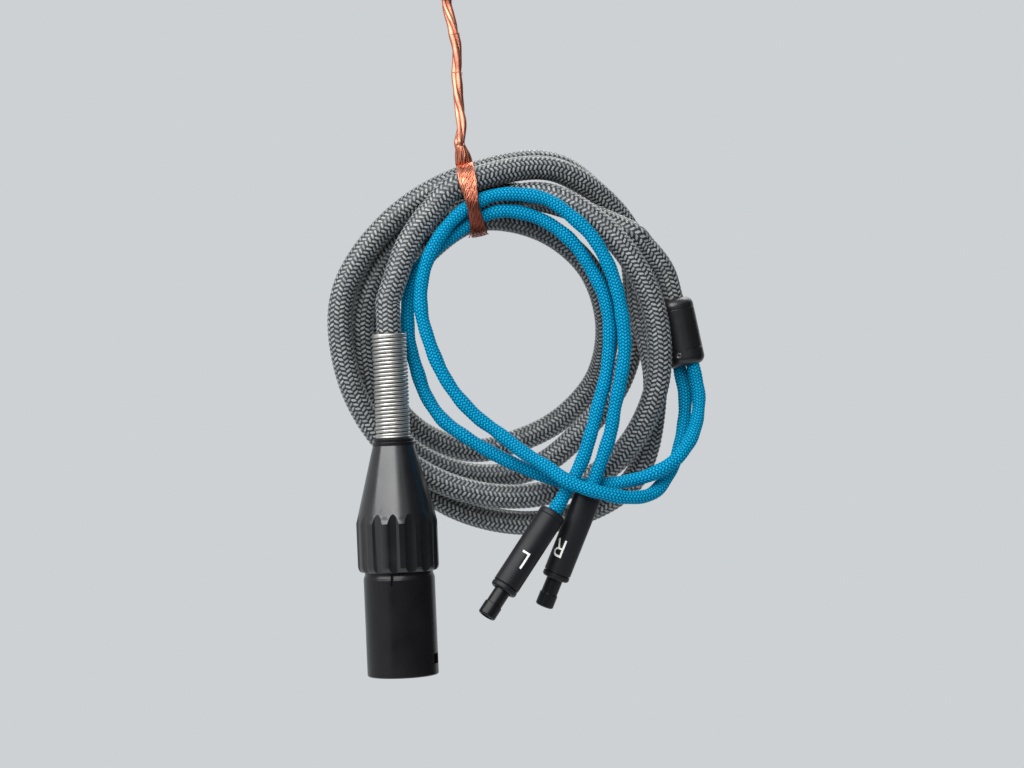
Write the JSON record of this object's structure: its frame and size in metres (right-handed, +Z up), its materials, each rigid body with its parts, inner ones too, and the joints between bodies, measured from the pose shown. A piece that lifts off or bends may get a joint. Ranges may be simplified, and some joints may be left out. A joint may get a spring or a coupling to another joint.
{
  "type": "xlr cable coil",
  "caption": "Hand-wound hank of braided headphone cable with an XLR plug, a splitter, thin blue leads and headphone plugs, hung from a copper rope.",
  "frame": {"origin": "inside top of the hanging loop, where a hook carries it", "axes": "+Z up, +X to the right and +Y away from the viewer, seen from the front of the hank"},
  "size_m": [0.1018, 0.0553, 0.1986],
  "materials": {
    "black_anodised": "satin black anodised",
    "grey_anodised": "satin dark grey anodised",
    "black_plastic": "moulded",
    "pale_plastic": "moulded",
    "gold_plate": "gold plated",
    "spring_bronze": "tinned",
    "wire_cover": "extruded",
    "nickel_wire": "bright nickel wire",
    "grey_braid": "braided yarn, charcoal with pale flecks",
    "splitter_black": "satin black anodised",
    "steel": "turned",
    "blue_cord": "braided cord",
    "plug_grey": "blasted dark grey anodised",
    "nose_black": "satin black",
    "copper": "twisted bare copper strands"
  },
  "bodies": {
    "root": {"xlr_shell": "black_anodised", "xlr_insert": "black_plastic", "xlr_contacts": "gold_plate", "xlr_ground_contact": "spring_bronze", "plug_wires": "wire_cover", "xlr_chuck": "pale_plastic", "cable_end": "grey_braid", "main_cable": "grey_braid", "splitter_top_cap": "splitter_black", "splitter_barrel": "splitter_black", "splitter_bottom_cap": "splitter_black", "splitter_core": "black_plastic", "splitter_screw": "steel", "lead_left": "blue_cord", "lead_right": "blue_cord", "left_rear_cap": "plug_grey", "left_barrel": "plug_grey", "left_front_ring": "plug_grey", "left_nose": "nose_black", "left_insulator": "pale_plastic", "left_contacts": "gold_plate", "right_rear_cap": "plug_grey", "right_barrel": "plug_grey", "right_front_ring": "plug_grey", "right_nose": "nose_black", "right_insulator": "pale_plastic", "right_contacts": "gold_plate", "tie_band": "copper", "tie_hitch": "copper", "hanger_rope": "copper", "loop_knot": "copper", "hanging_loop": "copper"},
    "tail": {"rear_collar": "black_anodised", "strain_spring": "nickel_wire"},
    "backshell": {"xlr_backshell": "grey_anodised"}
  },
  "joints": [
    {"name": "backshell_travel", "type": "slide", "parent": "root", "child": "tail", "axis": [-0.0419, 0, 0.9991], "range_m": [0, 0.004]},
    {"name": "backshell_turn", "type": "hinge", "parent": "tail", "child": "backshell", "pos_m": [-0.01255, -0.009, -0.15604], "axis": [-0.0419, 0, 0.9991], "range_deg": [0, 1440]}
  ],
  "couplings": [
    {"joint": "backshell_travel", "follows": "backshell_turn", "m_per_rad": 0.00015915}
  ]
}
